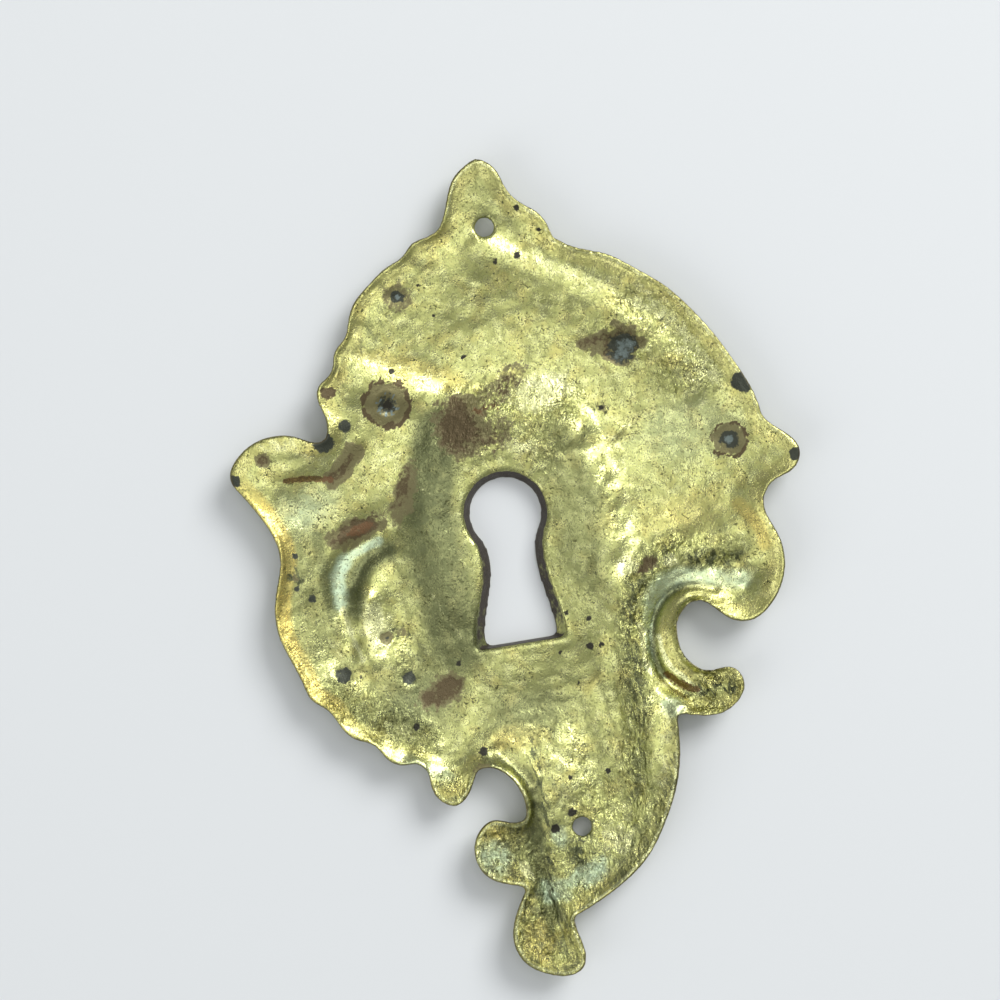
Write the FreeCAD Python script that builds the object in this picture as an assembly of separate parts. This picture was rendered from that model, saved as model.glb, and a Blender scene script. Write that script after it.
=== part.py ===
"""Keyhole escutcheon: one piece of thin sheet brass, stamped to a leaf and scroll outline.

Millimetres. The origin is on the axis of the keyhole's round head, in the plane of the rim that
lies against the wood. +Z leaves the hollow back, +Y runs up the door along the line of the two pin
holes, and +X is to the right as seen from the back. The domed front faces -Z.
"""
import FreeCAD
import Part
import math
import os

Vector = FreeCAD.Vector

# Overall size of the plate
PLATE_HEIGHT = 84.4
PLATE_WIDTH = 58.3
SHEET = 0.85

# The rim lies flat on the wood, and a narrow bend leads from it into the hollow
RIM_BAND = 1.0
RIM_DROP = 0.2
BOWL_DEPTH = 2.3
BOWL_RUN = 2.8
RIM_FREE_OF_FOLDS = 2.0

# The keyhole: sizes at its front edge, and how much wider each is at its back edge
KEY_HEAD_RADIUS = 3.6
KEY_HEAD_FLARE = 0.8
KEY_NECK_HALF = 2.25
KEY_NECK_FLARE = 1.05
KEY_NECK_DROP = 4.4
KEY_FOOT_HALF = 3.55
KEY_FOOT_FLARE = 1.4
KEY_FOOT_SHIFT = -0.5
KEY_DROP = 13.3
KEY_DROP_FLARE = 0.3
KEY_SHOULDER_ANGLE = 32.0
KEY_WAIST_DROP = 0.4
COLLAR_DEPTH = 2.0
KEY_LEVEL = -1.5
KEY_SEAT = 3.5

# The pin holes, one above the other
PIN_HOLE_DIAMETER = 2.0
PIN_LINE_X = 2.6
UPPER_PIN_Y = 29.4
LOWER_PIN_Y = -33.2
PIN_SEAT_RADIUS = 3.6

# How finely the relief and the rim are drawn, and how far and how steeply the relief
# runs past the outline
RELIEF_GRID = 2.1
RIM_STATION = 2.1
HOLE_EDGE_POINTS = 9
MARGIN = 3.0
RISE_PAST_RIM = 0.25

# The outline in stretches from corner to corner, counterclockwise as seen from the back
CREST = [(9.3, 27.3), (9.0, 28.7), (8.2, 30.0), (6.6, 31.3), (5.4, 33.0), (4.8, 34.8), (3.9, 35.9),
         (2.9, 36.4), (1.6, 35.9), (0.3, 34.9), (-0.7, 33.0), (-1.4, 31.1), (-2.0, 30.0)]
LEFT_SHOULDER = [(-2.0, 30.0), (-4.0, 29.2), (-5.0, 28.9), (-6.1, 27.8), (-8.0, 26.9),
                 (-10.0, 25.5), (-12.0, 23.7), (-12.9, 21.7), (-13.3, 20.6), (-14.7, 19.1),
                 (-15.4, 17.1), (-16.9, 15.9), (-17.2, 14.5), (-16.8, 13.0), (-16.7, 11.6),
                 (-17.0, 10.5)]
LEFT_SIDE = [(-17.0, 10.5), (-18.0, 10.3), (-20.0, 11.2), (-22.0, 11.65), (-24.0, 11.4),
             (-26.0, 10.3), (-27.4, 8.0), (-26.4, 6.0), (-25.2, 4.0), (-24.2, 2.0),
             (-23.65, -1.0), (-24.5, -4.0), (-25.15, -8.0), (-24.4, -11.0), (-23.4, -14.0),
             (-22.7, -15.9), (-21.4, -17.0), (-20.1, -19.3), (-18.8, -20.6), (-17.2, -21.4),
             (-16.2, -22.9), (-14.5, -23.95), (-13.0, -24.1), (-12.2, -25.2), (-12.0, -27.0),
             (-10.8, -28.6), (-10.0, -28.9), (-8.7, -28.3), (-7.7, -26.8), (-7.1, -25.7)]
LOWER_NOTCH = [(-7.1, -25.7), (-6.0, -25.55), (-4.5, -26.3), (-3.3, -28.0), (-2.8, -30.0),
               (-3.0, -31.3)]
ROUND_LOBE = [(-3.0, -31.3), (-4.5, -31.5), (-6.3, -30.95), (-8.0, -31.9), (-8.8, -34.2),
              (-7.9, -36.6), (-6.0, -37.7), (-4.0, -38.3)]
FOOT_LOBE = [(-4.0, -38.3), (-5.5, -40.7), (-6.3, -43.5), (-5.2, -46.3), (-3.5, -47.4),
             (-1.2, -48.0), (0.4, -47.4), (0.85, -46.0), (0.5, -44.0), (0.3, -42.1)]
LOWER_RIGHT = [(0.3, -42.1), (3.0, -41.0), (6.0, -39.4), (9.0, -37.0), (11.0, -34.2),
               (12.8, -30.7), (13.8, -27.0), (14.0, -23.3)]
RIGHT_SIDE = [(14.0, -23.3), (16.0, -23.7), (18.0, -24.0), (20.0, -23.3), (21.45, -21.0),
              (20.5, -19.4), (18.0, -19.3), (16.4, -18.3), (15.4, -15.4), (16.2, -13.0),
              (18.0, -12.1), (19.4, -12.9), (21.2, -14.55), (23.2, -14.95), (25.2, -13.9),
              (26.95, -11.6), (27.65, -8.7), (27.1, -6.0), (26.35, -3.4), (27.7, -1.2),
              (29.6, -0.5), (30.65, 0.5), (30.9, 1.7), (30.1, 3.2), (28.6, 4.5), (27.6, 5.9)]
RIGHT_SWEEP = [(27.6, 5.9), (27.3, 7.8), (26.0, 11.1), (24.0, 15.0), (22.0, 18.0), (20.0, 20.4),
               (17.0, 22.9), (14.0, 24.9), (12.0, 25.6), (10.5, 26.4), (9.3, 27.3)]
STRETCHES = [CREST, LEFT_SHOULDER, LEFT_SIDE, LOWER_NOTCH, ROUND_LOBE, FOOT_LOBE, LOWER_RIGHT,
             RIGHT_SIDE, RIGHT_SWEEP]

# The relief: each fold has a height towards the back, a half width and a line that it follows
FOLDS = {
    "groove inside the upper right rim":
        (-0.7, 3.0, [(5.0, 28.5), (9.0, 25.2), (13.0, 22.6), (18.0, 19.0), (21.5, 14.5),
                     (23.5, 10.5)]),
    "groove of the left crescent":
        (-1.8, 2.6, [(-13.5, -0.6), (-16.0, -1.6), (-17.6, -4.0), (-17.9, -7.5),
                     (-16.9, -12.5)]),
    "ridge beside the left crescent":
        (1.1, 2.8, [(-13.8, -4.0), (-14.8, -6.5), (-14.8, -10.0), (-14.0, -13.5)]),
    "groove round the right notch":
        (-1.8, 2.5, [(22.5, -9.6), (17.5, -9.9), (15.2, -10.7), (13.6, -12.4), (12.9, -15.0),
                     (13.1, -18.2), (14.8, -20.3), (18.5, -21.4)]),
    "ridge round the right notch":
        (1.6, 3.0, [(23.0, -6.6), (18.0, -7.0), (13.5, -7.9), (10.6, -10.8), (9.9, -15.0),
                    (10.0, -19.5), (11.2, -23.5), (10.6, -28.0)]),
}

# Each swell has a height towards the back, a centre, a half width and half height, and the share
# of these that is flat
SWELLS = {
    "raised field of the keyhole": (1.7, (-0.3, -2.5), (14.5, 18.0), 0.5),
    "left lobe, nearly level with the rim": (1.2, (-23.0, 8.8), (7.5, 4.5), 0.3),
}


def extent(index):
    """Lowest and highest value of the drawn outline, across (0) or up (1)."""
    values = [point[index] for stretch in STRETCHES for point in stretch]
    return min(values), max(values)


DRAWN_LEFT, DRAWN_RIGHT = extent(0)
DRAWN_FOOT, DRAWN_TOP = extent(1)
STRETCH_X = PLATE_WIDTH / (DRAWN_RIGHT - DRAWN_LEFT)
STRETCH_Y = PLATE_HEIGHT / (DRAWN_TOP - DRAWN_FOOT)


def stretched(points):
    """Drawn points, stretched about the keyhole's axis to the plate's width and height."""
    return [(x * STRETCH_X, y * STRETCH_Y) for x, y in points]


def smooth_edge(points):
    """Smooth edge through points."""
    curve = Part.BSplineCurve()
    curve.interpolate(points)
    return curve.toShape()


def straight_band(first, second):
    """Face of straight lines between two edges."""
    return Part.makeLoft([Part.Wire([first]), Part.Wire([second])], False, True).Faces[0]


def rim_stations():
    """For each stretch, flat points along it, each with the direction into the plate."""
    stretches = []
    for stretch in STRETCHES:
        edge = smooth_edge([Vector(x, y, 0.0) for x, y in stretched(stretch)])
        runs = int(round(edge.Length / RIM_STATION))
        points = edge.discretize(runs + 1)
        inward = []
        for point in points:
            along = edge.tangentAt(edge.Curve.parameter(point))
            inward.append(Vector(-along.y, along.x, 0.0))
        stretches.append((points, inward))
    for index, (points, inward) in enumerate(stretches):
        before = stretches[index - 1][1]
        mitre = (before[-1] + inward[0]) / (1.0 + before[-1].dot(inward[0]))
        before[-1] = mitre
        inward[0] = mitre
    return stretches


STATIONS = rim_stations()
RING = [(p.x, p.y) for points, inward in STATIONS for p in points[:-1]]
RING.append(RING[0])


def segment_distance(x, y, start, end):
    """Distance from a flat point to a straight run."""
    run_x = end[0] - start[0]
    run_y = end[1] - start[1]
    share = ((x - start[0]) * run_x + (y - start[1]) * run_y) / (run_x ** 2 + run_y ** 2)
    share = min(max(share, 0.0), 1.0)
    return math.hypot(x - start[0] - share * run_x, y - start[1] - share * run_y)


def path_distance(x, y, path):
    """Distance from a flat point to a line of straight runs."""
    return min(segment_distance(x, y, start, end) for start, end in zip(path, path[1:]))


def inside_outline(x, y):
    """True where a flat point lies within the plate's outline."""
    crossings = 0
    for (start_x, start_y), (end_x, end_y) in zip(RING, RING[1:]):
        if (start_y > y) != (end_y > y):
            cross_x = start_x + (y - start_y) * (end_x - start_x) / (end_y - start_y)
            crossings += x < cross_x
    return crossings % 2 == 1


def bump(share):
    """1 at the middle, 0 from a share of 1 outwards, smooth at both ends."""
    return (1.0 - min(share, 1.0) ** 2) ** 2


def raw_relief(x, y):
    """Height of the sheet's back at a flat point, before the holes' seats are levelled."""
    rim = path_distance(x, y, RING)
    if not inside_outline(x, y):
        return rim * RISE_PAST_RIM - RIM_DROP
    height = -RIM_DROP - BOWL_DEPTH * (1.0 - math.exp(-rim / BOWL_RUN))
    fade = 1.0 - bump(rim / RIM_FREE_OF_FOLDS)
    for rise, half_width, line in FOLDS.values():
        height += fade * rise * bump(path_distance(x, y, stretched(line)) / half_width)
    for rise, (centre_x, centre_y), (half_x, half_y), flat in SWELLS.values():
        across = (x - centre_x * STRETCH_X) / half_x
        up = (y - centre_y * STRETCH_Y) / half_y
        share = (math.hypot(across, up) - flat) / (1.0 - flat)
        height += fade * rise * bump(max(share, 0.0))
    return height


PIN_HOLES = stretched([(PIN_LINE_X, UPPER_PIN_Y), (PIN_LINE_X, LOWER_PIN_Y)])
PIN_LEVELS = [raw_relief(x, y) for x, y in PIN_HOLES]


def keyhole_edges(z, grow=0.0):
    """Outline of the keyhole at a height, larger all round by grow: head, left, foot, right."""
    share = (z - KEY_LEVEL + COLLAR_DEPTH) / COLLAR_DEPTH
    head = KEY_HEAD_RADIUS + KEY_HEAD_FLARE * share + grow
    neck = KEY_NECK_HALF + KEY_NECK_FLARE * share + grow
    foot = KEY_FOOT_HALF + KEY_FOOT_FLARE * share + grow
    drop = -KEY_DROP - KEY_DROP_FLARE * share - grow
    waist = -KEY_NECK_DROP - KEY_WAIST_DROP * share
    shoulder = math.radians(-KEY_SHOULDER_ANGLE)
    right_end = Vector(head * math.cos(shoulder), head * math.sin(shoulder), z)
    left_end = Vector(-right_end.x, right_end.y, z)
    right_foot = Vector(KEY_FOOT_SHIFT + foot, drop, z)
    left_foot = Vector(KEY_FOOT_SHIFT - foot, drop, z)
    halfway = 0.5 * (waist + drop)
    middle = 0.5 * (neck + foot)
    left_side = smooth_edge([left_end, Vector(-neck, waist, z),
                             Vector(0.5 * KEY_FOOT_SHIFT - middle, halfway, z), left_foot])
    right_side = smooth_edge([right_foot, Vector(0.5 * KEY_FOOT_SHIFT + middle, halfway, z),
                              Vector(neck, waist, z), right_end])
    head_arc = Part.Arc(right_end, Vector(0.0, head, z), left_end).toShape()
    foot_line = Part.LineSegment(left_foot, right_foot).toShape()
    return [head_arc, left_side, foot_line, right_side]


KEY_RING = []
for edge in keyhole_edges(KEY_LEVEL):
    KEY_RING += [(p.x, p.y) for p in edge.discretize(HOLE_EDGE_POINTS)[:-1]]
KEY_RING.append(KEY_RING[0])


def relief(x, y):
    """Height of the sheet's back at a flat point."""
    height = raw_relief(x, y)
    for (pin_x, pin_y), level in zip(PIN_HOLES, PIN_LEVELS):
        near = bump(math.hypot(x - pin_x, y - pin_y) / PIN_SEAT_RADIUS)
        height += near * (level - height)
    near = bump(path_distance(x, y, KEY_RING) / KEY_SEAT)
    height += near * (KEY_LEVEL - height)
    return height


class ReliefGrid:
    """Even grid past the outline on all sides, whose control points carry the relief."""

    def __init__(self):
        self.low_x, self.spans_x, self.xs = self.line(DRAWN_LEFT * STRETCH_X,
                                                      DRAWN_RIGHT * STRETCH_X)
        self.low_y, self.spans_y, self.ys = self.line(DRAWN_FOOT * STRETCH_Y,
                                                      DRAWN_TOP * STRETCH_Y)

    @staticmethod
    def line(lowest, highest):
        """Start, number of spans and control values of a cubic that runs evenly."""
        run = highest - lowest + 2.0 * MARGIN
        spans = int(math.ceil(run / RELIEF_GRID))
        shares = [0.0, 1.0 / 3.0] + list(range(1, spans)) + [spans - 1.0 / 3.0, float(spans)]
        start = lowest - MARGIN
        step = run / spans
        return (start, step), spans, [start + step * share for share in shares]

    def surface(self, heights):
        """Smooth surface with one height for each control point."""
        poles = [[Vector(x, y, heights[i][j]) for j, y in enumerate(self.ys)]
                 for i, x in enumerate(self.xs)]
        sheet = Part.BSplineSurface()
        sheet.buildFromPolesMultsKnots(
            poles, [4] + [1] * (self.spans_x - 1) + [4], [4] + [1] * (self.spans_y - 1) + [4],
            [float(k) for k in range(self.spans_x + 1)],
            [float(k) for k in range(self.spans_y + 1)], False, False, 3, 3)
        return sheet

    def lift(self, surface, point):
        """The point of a surface straight above or below a flat point."""
        return surface.value((point.x - self.low_x[0]) / self.low_x[1],
                             (point.y - self.low_y[0]) / self.low_y[1])


class SheetSide:
    """One side of the sheet: its relief, the bend from the rim into it, and its edges."""

    def __init__(self, grid, heights, rim_level):
        self.grid = grid
        self.surface = grid.surface(heights)
        self.rim_edges = []
        self.hole_rings = []
        relief_edges = []
        for stretch, (points, inward) in zip(STRETCHES, STATIONS):
            rim = [Vector(x, y, rim_level) for x, y in stretched(stretch)]
            self.rim_edges.append(smooth_edge(rim))
            relief_edges.append(self.edge([p + RIM_BAND * n for p, n in zip(points, inward)]))
        self.relief_face = Part.Face(self.surface, Part.Wire(relief_edges))
        self.relief_face.validate()
        self.bend = [straight_band(rim, edge) for rim, edge in zip(self.rim_edges, relief_edges)]

    def edge(self, points):
        """Smooth edge on the relief, straight above or below flat points."""
        return smooth_edge([self.grid.lift(self.surface, point) for point in points])

    def hole(self, flat_edges):
        """The ring of edges on the relief that a ring of flat edges makes."""
        ring = [self.edge(edge.discretize(HOLE_EDGE_POINTS)) for edge in flat_edges]
        self.hole_rings.append(Part.Wire(ring))
        return ring

    def faces(self):
        """The relief with its holes, and the bend."""
        self.relief_face.cutHoles(self.hole_rings)
        self.relief_face.validate()
        return [self.relief_face] + self.bend


def evenly_drawn(edges):
    """The same edges, drawn through as many points as a hole's ring on the relief."""
    return [smooth_edge(edge.discretize(HOLE_EDGE_POINTS)) for edge in edges]


def half_circles(x, y):
    """The two halves of a pin hole's circle, in the rim's plane."""
    radius = 0.5 * PIN_HOLE_DIAMETER
    right = Vector(x + radius, y, 0.0)
    left = Vector(x - radius, y, 0.0)
    upper = Part.Arc(right, Vector(x, y + radius, 0.0), left)
    lower = Part.Arc(left, Vector(x, y - radius, 0.0), right)
    return [upper.toShape(), lower.toShape()]


def pin_hole(back, front, x, y):
    """The round wall of a pin's hole through the sheet."""
    halves = half_circles(x, y)
    walls = []
    for half, upper, lower in zip(halves, back.hole(halves), front.hole(halves)):
        first_side = Part.makeLine(upper.firstVertex().Point, lower.firstVertex().Point)
        last_side = Part.makeLine(upper.lastVertex().Point, lower.lastVertex().Point)
        tube = half.extrude(Vector(0.0, 0.0, -BOWL_DEPTH)).Faces[0]
        wall = Part.Face(tube.Surface, Part.Wire([upper, last_side, lower, first_side]))
        wall.validate()
        walls.append(wall)
    return walls


def keyhole(back, front):
    """The keyhole's tapered wall and the collar that stands round it on the front."""
    collar_level = KEY_LEVEL - COLLAR_DEPTH
    inner_upper = back.hole(keyhole_edges(KEY_LEVEL))
    inner_lower = evenly_drawn(keyhole_edges(collar_level))
    outer_upper = front.hole(keyhole_edges(KEY_LEVEL - SHEET, SHEET))
    outer_lower = evenly_drawn(keyhole_edges(collar_level, SHEET))
    collar_edge = Part.Face(Part.Wire(outer_lower))
    collar_edge.cutHoles([Part.Wire(inner_lower)])
    collar_edge.validate()
    inner_wall = [straight_band(upper, lower) for upper, lower in zip(inner_upper, inner_lower)]
    outer_wall = [straight_band(upper, lower) for upper, lower in zip(outer_upper, outer_lower)]
    return inner_wall + outer_wall + [collar_edge]


def escutcheon_plate():
    """The whole stamped plate."""
    grid = ReliefGrid()
    back_heights = [[relief(x, y) for y in grid.ys] for x in grid.xs]
    front_heights = [[height - SHEET for height in row] for row in back_heights]
    back = SheetSide(grid, back_heights, 0.0)
    front = SheetSide(grid, front_heights, -SHEET)
    walls = [straight_band(upper, lower) for upper, lower in zip(back.rim_edges, front.rim_edges)]
    walls += keyhole(back, front)
    for x, y in PIN_HOLES:
        walls += pin_hole(back, front, x, y)
    shell = Part.makeShell(back.faces() + front.faces() + walls)
    shell.sewShape()
    solid = Part.Solid(shell)
    if solid.Volume < 0.0:
        solid.reverse()
    return solid


plate = escutcheon_plate()
box = plate.optimalBoundingBox()
print("solids", len(plate.Solids), "valid", plate.isValid(), "volume", round(plate.Volume, 1))
print("box", [round(v, 3) for v in (box.XMin, box.YMin, box.ZMin, box.XMax, box.YMax, box.ZMax)])
os.makedirs("parts", exist_ok=True)
plate.exportStep("parts/escutcheon_plate.step")
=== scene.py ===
# %% [markdown]
# # A keyhole escutcheon, seen from its back
#
# The object is one thin sheet of brass, stamped to a leaf and scroll outline, with a keyhole and two
# pin holes. The photograph looks straight into its hollow back. The exact shape comes from the packed
# frame. Here it gets what a stamped and long used sheet has: crisp folds, small dents, pits, stains and
# a tarnished finish.

# %% Load the frame
import math

import bmesh
import bpy
import numpy as np
from mathutils import Matrix, Vector, kdtree, noise


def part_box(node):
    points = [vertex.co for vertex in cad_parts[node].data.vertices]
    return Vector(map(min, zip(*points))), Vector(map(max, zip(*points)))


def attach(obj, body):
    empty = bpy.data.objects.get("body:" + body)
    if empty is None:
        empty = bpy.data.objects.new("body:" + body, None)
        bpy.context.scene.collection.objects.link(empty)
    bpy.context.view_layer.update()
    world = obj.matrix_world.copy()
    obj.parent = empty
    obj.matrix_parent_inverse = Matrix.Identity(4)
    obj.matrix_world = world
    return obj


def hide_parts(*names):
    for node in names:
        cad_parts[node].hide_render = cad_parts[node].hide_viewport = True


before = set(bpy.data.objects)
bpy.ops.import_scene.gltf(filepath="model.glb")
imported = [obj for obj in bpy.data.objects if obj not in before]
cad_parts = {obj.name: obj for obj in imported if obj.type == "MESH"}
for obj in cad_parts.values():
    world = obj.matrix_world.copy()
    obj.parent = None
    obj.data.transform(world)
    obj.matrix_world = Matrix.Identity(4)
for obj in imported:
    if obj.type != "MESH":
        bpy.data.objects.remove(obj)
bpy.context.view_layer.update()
cad_low, cad_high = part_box("escutcheon_plate")
MM = 0.001
print("plate size in mm:", [round(v / MM, 2) for v in cad_high - cad_low])

# %% [markdown]
# ## An even skin for the sheet
#
# The frame's mesh has long thin triangles that can't hold a small dent. A grid could be cut to the
# outline, but the sheet also has two sides, a cut edge and a collar round the keyhole. So a copy of the
# frame's mesh is merged into one closed skin, and a voxel remesh lays small even faces over all of it.
# From here to the last cells all lengths are in millimetres.

# %% Copy, merge and remesh the sheet
VOXEL = 0.28
SAME_POINT = 0.001


def merged_copy(node):
    """The node's shape as one closed mesh, in millimetres."""
    shape = bmesh.new()
    shape.from_mesh(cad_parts[node].data)
    bmesh.ops.remove_doubles(shape, verts=shape.verts, dist=SAME_POINT * MM)
    bmesh.ops.scale(shape, vec=Vector((1.0, 1.0, 1.0)) / MM, verts=shape.verts)
    mesh = bpy.data.meshes.new("plate")
    shape.to_mesh(mesh)
    shape.free()
    return mesh


def link(name, data):
    """A new object in the scene, with that mesh, camera or lamp."""
    piece = bpy.data.objects.new(name, data)
    bpy.context.scene.collection.objects.link(piece)
    return piece


def bake_modifiers(piece):
    """Turn the piece's modifiers into its mesh."""
    depsgraph = bpy.context.evaluated_depsgraph_get()
    finished = bpy.data.meshes.new_from_object(piece.evaluated_get(depsgraph))
    piece.modifiers.clear()
    piece.data = finished


plate = link("escutcheon", merged_copy("escutcheon_plate"))
remesh = plate.modifiers.new("even skin", "REMESH")
remesh.mode = "VOXEL"
remesh.voxel_size = VOXEL
bake_modifiers(plate)
print("faces in the even skin:", len(plate.data.polygons))

# %% [markdown]
# ## How far each point is from a cut edge
#
# Wear, stains and folds all change near an edge. The walls of the cut edge and of the holes are the
# only faces that stand upright, so a search tree of their points gives every other point its distance
# from the nearest edge. The keyhole's walls flare, so there a face counts as upright a little sooner.

# %% Measure the distance to the nearest edge
UPRIGHT = 0.4
FLARED = 0.75
KEYHOLE_HALF_WIDTH = 6.5
KEYHOLE_TOP = 5.5
KEYHOLE_FOOT = -14.5
PIN_HOLES = [(2.6, 29.4), (2.6, -33.2)]
PIN_REACH = 2.0


def rows_of(mesh, what):
    """The mesh's points (co) or point normals (normal) as rows of x, y, z."""
    rows = np.zeros(len(mesh.vertices) * 3)
    mesh.vertices.foreach_get(what, rows)
    return rows.reshape(-1, 3)


def distance_to(chosen, points):
    """Distance from each point to the nearest of the chosen ones, as seen from the back."""
    tree = kdtree.KDTree(int(chosen.sum()))
    for number, (x, y, z) in enumerate(points[chosen]):
        tree.insert((x, y, 0.0), number)
    tree.balance()
    return np.array([tree.find((x, y, 0.0))[2] for x, y, z in points])


points = rows_of(plate.data, "co")
normals = rows_of(plate.data, "normal")
near_keyhole = np.abs(points[:, 0]) < KEYHOLE_HALF_WIDTH
near_keyhole &= (points[:, 1] > KEYHOLE_FOOT) & (points[:, 1] < KEYHOLE_TOP)
near_pin = np.zeros(len(points), dtype=bool)
for x, y in PIN_HOLES:
    near_pin |= (np.abs(points[:, 0] - x) < PIN_REACH) & (np.abs(points[:, 1] - y) < PIN_REACH)
upright = np.abs(normals[:, 2]) < np.where(near_keyhole, FLARED, UPRIGHT)
edge_distance = distance_to(upright, points)
rim_distance = distance_to(upright & ~near_keyhole & ~near_pin, points)
print("points on upright walls:", int(upright.sum()), "farthest from one:", round(edge_distance.max(), 1))

# %% [markdown]
# ## Smoothing away the frame's flat facets
#
# The frame is made of flat triangles, and polished metal shows each of them. A Smooth modifier rounds
# them off. It works through a vertex group, so that the edges keep their crispness: a few rounds for
# all of the sheet, and many for the fields between the edges.

# %% Smooth the fields between the edges
FIELD_STARTS = 0.5
FIELD_FULL = 1.6
ROUNDS_ALL_OVER = 3
ROUNDS_IN_FIELDS = 38
WEIGHT_STEPS = 20


def ramp(values, start, full):
    """0 below start, 1 above full, smooth between."""
    share = np.clip((values - start) / (full - start), 0.0, 1.0)
    return share * share * (3.0 - 2.0 * share)


def smooth_sheet(group_name, weights, rounds):
    """Smooth the plate as strongly as the weights say."""
    group = plate.vertex_groups.new(name=group_name)
    levels = np.rint(weights * WEIGHT_STEPS).astype(int)
    for level in range(1, WEIGHT_STEPS + 1):
        group.add(np.flatnonzero(levels == level).tolist(), level / WEIGHT_STEPS, "REPLACE")
    smooth = plate.modifiers.new(group_name, "SMOOTH")
    smooth.factor = 0.5
    smooth.iterations = rounds
    smooth.vertex_group = group_name
    bake_modifiers(plate)
    plate.vertex_groups.clear()


smooth_sheet("all over", np.ones(len(points)), ROUNDS_ALL_OVER)
smooth_sheet("fields", ramp(edge_distance, FIELD_STARTS, FIELD_FULL), ROUNDS_IN_FIELDS)
points = rows_of(plate.data, "co")
normals = rows_of(plate.data, "normal")
across = points[:, 0]
up_plate = points[:, 1]
on_back = ramp(normals[:, 2], 0.0, 0.4)
in_field = ramp(rim_distance, 0.15, 1.0)
print("height of the smoothed sheet:", round(points[:, 2].min(), 2), "to", round(points[:, 2].max(), 2))

# %% [markdown]
# ## Noise on the points
#
# Nothing that happened to this sheet is perfectly even. Smooth noise, worked out at each point, gives
# waves of any size, and it can be stretched along a direction. A texture would do for colour alone, but
# here the same noise also moves points and frays the borders of marks.

# %% Noise in three sizes
def wander(size, seed, stretch=1.0, turn=0.0):
    """Smooth noise between about -1 and 1: waves as long as size, or stretched along a direction."""
    cosine = math.cos(math.radians(turn))
    sine = math.sin(math.radians(turn))
    along = (across * cosine + up_plate * sine) / (size * stretch)
    beside = (up_plate * cosine - across * sine) / size
    depth = points[:, 2] / size
    offset = Vector((seed * 17.3, seed * -9.1, seed * 5.7))
    return np.array([noise.noise(Vector(place) + offset) for place in zip(along, beside, depth)])


coarse = wander(3.0, 1.0)
medium = wander(1.1, 2.0)
fine = wander(0.55, 3.0)
ragged_noise = 0.6 * medium + 0.4 * fine
print("noise ranges:", [round(float(np.ptp(n)), 2) for n in (coarse, medium, fine)])

# %% [markdown]
# ## Ways to place a mark
#
# Everything on the sheet is either a spot, a ring or something that runs along a line. These helpers
# give each point its share of such a mark, from 1 in the middle to 0 outside. A little noise added to
# the distance makes its border ragged, as corrosion and creases are.

# %% Helpers for spots and rings
def reach_from(x, y, half_x, half_y=None, turn=0.0):
    """Distance of each point from an oval's centre, 1 on the oval itself."""
    cosine = math.cos(math.radians(turn))
    sine = math.sin(math.radians(turn))
    along = (across - x) * cosine + (up_plate - y) * sine
    beside = (up_plate - y) * cosine - (across - x) * sine
    return np.hypot(along / half_x, beside / (half_y or half_x))


def spot(x, y, half_x, half_y=None, turn=0.0, soft=0.35, ragged=0.0):
    """Share of an oval spot at each point."""
    reach = reach_from(x, y, half_x, half_y, turn) + ragged * ragged_noise
    return 1.0 - ramp(reach, 1.0 - soft, 1.0 + soft)


def ring(x, y, radius, half_width, ragged=0.0):
    """Share of a ring at each point."""
    reach = reach_from(x, y, 1.0) + ragged * ragged_noise
    return 1.0 - ramp(np.abs(reach - radius) / half_width, 0.5, 1.5)


print("points within 5 mm of the keyhole's head:", int((reach_from(0.0, 0.0, 5.0) < 1.0).sum()))

# %% [markdown]
# ### Marks that run along a line
#
# A fold or a scratch is given by a few points. Their corners are cut twice, which turns straight runs
# into a curve, and each point's distance from that curve gives its share. A stroke is level across its
# width, and a mound is round.

# %% Helpers for strokes and mounds
def nearest_on(line):
    """Distance from each point to a line of straight runs."""
    nearest = np.full(len(points), 1e9)
    for (start_x, start_y), (end_x, end_y) in zip(line, line[1:]):
        run_x = end_x - start_x
        run_y = end_y - start_y
        share = ((across - start_x) * run_x + (up_plate - start_y) * run_y) / (run_x ** 2 + run_y ** 2)
        share = np.clip(share, 0.0, 1.0)
        beside_x = across - start_x - share * run_x
        beside_y = up_plate - start_y - share * run_y
        nearest = np.minimum(nearest, np.hypot(beside_x, beside_y))
    return nearest


def curved(line, rounds=2):
    """The line with its corners cut, so that it runs in a curve."""
    for _ in range(rounds):
        cut = [line[0]]
        for (start_x, start_y), (end_x, end_y) in zip(line, line[1:]):
            cut.append((0.75 * start_x + 0.25 * end_x, 0.75 * start_y + 0.25 * end_y))
            cut.append((0.25 * start_x + 0.75 * end_x, 0.25 * start_y + 0.75 * end_y))
        cut.append(line[-1])
        line = cut
    return line


def stroke(line, half_width, soft=0.5, ragged=0.0):
    """Share of a stroke along a curved line at each point."""
    reach = nearest_on(curved(line)) / half_width + ragged * ragged_noise
    return 1.0 - ramp(reach, 1.0 - soft, 1.0 + soft)


def mound(line, half_width):
    """A rounded ridge along a curved line, 1 on the line and 0 from the half width outwards."""
    reach = np.clip(nearest_on(curved(line)) / half_width, 0.0, 1.0)
    return (1.0 - reach ** 2) ** 2


print("points on a curve through 3:", len(curved([(0.0, 0.0), (1.0, 1.0), (2.0, 0.0)])))

# %% [markdown]
# ## A crisp bend inside the rim
#
# The frame bends softly from the rim into the hollow, and alike all round. On the real sheet the bend
# differs: tight on the left, tight but shallower at the upper left, slow at the upper right and soft
# elsewhere, and the middle lies a little lower. The floor's depth below the rim is a fall that dies
# away with the distance, so each side gets a fall of its own in place of the frame's. Both faces of
# the sheet move together, because it is one sheet.

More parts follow.
